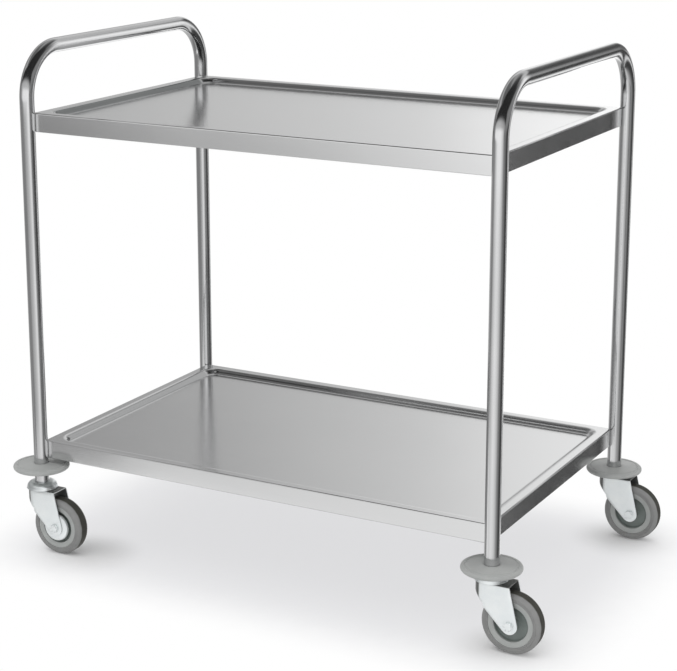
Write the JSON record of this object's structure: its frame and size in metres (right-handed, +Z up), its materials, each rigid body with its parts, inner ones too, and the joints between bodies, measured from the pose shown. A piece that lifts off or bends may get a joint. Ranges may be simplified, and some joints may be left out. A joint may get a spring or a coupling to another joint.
{
  "type": "serving trolley",
  "caption": "Stainless serving trolley with pressed tray shelves, bent-tube end frames that form push handles, bumper rings and swivel castors.",
  "frame": {"origin": "on the floor, at the middle of the trolley's box with the castors trailing towards +X", "axes": "+X along the trolley from end frame to end frame, +Y to its back, +Z up"},
  "size_m": [0.997, 0.638, 0.894],
  "materials": {
    "stainless_tube": "polished stainless tube",
    "stainless_sheet": "satin stainless sheet",
    "zinc_plated_steel": "bright zinc plate",
    "bearing_steel": "polished balls",
    "grey_bumper_plastic": "satin moulded plastic",
    "dark_hub_plastic": "moulded plastic",
    "grey_tyre_rubber": "matt non-marking rubber",
    "white_nylon": "nylon"
  },
  "bodies": {
    "trolley": {"left_end_frame": "stainless_tube", "right_end_frame": "stainless_tube", "upper_shelf": "stainless_sheet", "lower_shelf": "stainless_sheet", "upper_stiffener": "stainless_sheet", "lower_stiffener": "stainless_sheet", "corner_gussets": "zinc_plated_steel", "corner_bolts": "zinc_plated_steel", "corner_washers": "zinc_plated_steel", "rivet_nuts": "zinc_plated_steel", "expander_sleeves": "white_nylon", "cone_nuts": "zinc_plated_steel", "stem_bolts": "zinc_plated_steel", "kingpins": "zinc_plated_steel", "swivel_cups": "zinc_plated_steel", "bumper_front_left": "grey_bumper_plastic", "bumper_front_right": "grey_bumper_plastic", "bumper_back_left": "grey_bumper_plastic", "bumper_back_right": "grey_bumper_plastic"},
    "swivel_front_left": {"fork_front_left": "zinc_plated_steel", "race_balls_front_left": "bearing_steel", "axle_bolt_front_left": "zinc_plated_steel", "axle_nut_front_left": "zinc_plated_steel", "axle_tube_front_left": "zinc_plated_steel", "hub_covers_front_left": "zinc_plated_steel"},
    "wheel_front_left": {"tyre_front_left": "grey_tyre_rubber", "hub_front_left": "dark_hub_plastic", "hub_bushes_front_left": "white_nylon"},
    "swivel_front_right": {"fork_front_right": "zinc_plated_steel", "race_balls_front_right": "bearing_steel", "axle_bolt_front_right": "zinc_plated_steel", "axle_nut_front_right": "zinc_plated_steel", "axle_tube_front_right": "zinc_plated_steel", "axle_washers_front_right": "zinc_plated_steel"},
    "wheel_front_right": {"tyre_front_right": "grey_tyre_rubber", "hub_front_right": "dark_hub_plastic", "hub_bushes_front_right": "white_nylon"},
    "swivel_back_left": {"fork_back_left": "zinc_plated_steel", "race_balls_back_left": "bearing_steel", "axle_bolt_back_left": "zinc_plated_steel", "axle_nut_back_left": "zinc_plated_steel", "axle_tube_back_left": "zinc_plated_steel", "hub_covers_back_left": "zinc_plated_steel"},
    "wheel_back_left": {"tyre_back_left": "grey_tyre_rubber", "hub_back_left": "dark_hub_plastic", "hub_bushes_back_left": "white_nylon"},
    "swivel_back_right": {"fork_back_right": "zinc_plated_steel", "race_balls_back_right": "bearing_steel", "axle_bolt_back_right": "zinc_plated_steel", "axle_nut_back_right": "zinc_plated_steel", "axle_tube_back_right": "zinc_plated_steel", "axle_washers_back_right": "zinc_plated_steel"},
    "wheel_back_right": {"tyre_back_right": "grey_tyre_rubber", "hub_back_right": "dark_hub_plastic", "hub_bushes_back_right": "white_nylon"}
  },
  "joints": [
    {"name": "swivel_front_left_turn", "type": "hinge", "parent": "trolley", "child": "swivel_front_left", "pos_m": [-0.4495, -0.27, 0.11], "axis": [0, 0, 1], "continuous": true},
    {"name": "wheel_front_left_spin", "type": "hinge", "parent": "swivel_front_left", "child": "wheel_front_left", "pos_m": [-0.4115, -0.27, 0.05], "axis": [0, 1, 0], "continuous": true},
    {"name": "swivel_front_right_turn", "type": "hinge", "parent": "trolley", "child": "swivel_front_right", "pos_m": [0.4105, -0.27, 0.11], "axis": [0, 0, 1], "continuous": true},
    {"name": "wheel_front_right_spin", "type": "hinge", "parent": "swivel_front_right", "child": "wheel_front_right", "pos_m": [0.4485, -0.27, 0.05], "axis": [0, 1, 0], "continuous": true},
    {"name": "swivel_back_left_turn", "type": "hinge", "parent": "trolley", "child": "swivel_back_left", "pos_m": [-0.4495, 0.27, 0.11], "axis": [0, 0, 1], "continuous": true},
    {"name": "wheel_back_left_spin", "type": "hinge", "parent": "swivel_back_left", "child": "wheel_back_left", "pos_m": [-0.4115, 0.27, 0.05], "axis": [0, 1, 0], "continuous": true},
    {"name": "swivel_back_right_turn", "type": "hinge", "parent": "trolley", "child": "swivel_back_right", "pos_m": [0.4105, 0.27, 0.11], "axis": [0, 0, 1], "continuous": true},
    {"name": "wheel_back_right_spin", "type": "hinge", "parent": "swivel_back_right", "child": "wheel_back_right", "pos_m": [0.4485, 0.27, 0.05], "axis": [0, 1, 0], "continuous": true}
  ]
}
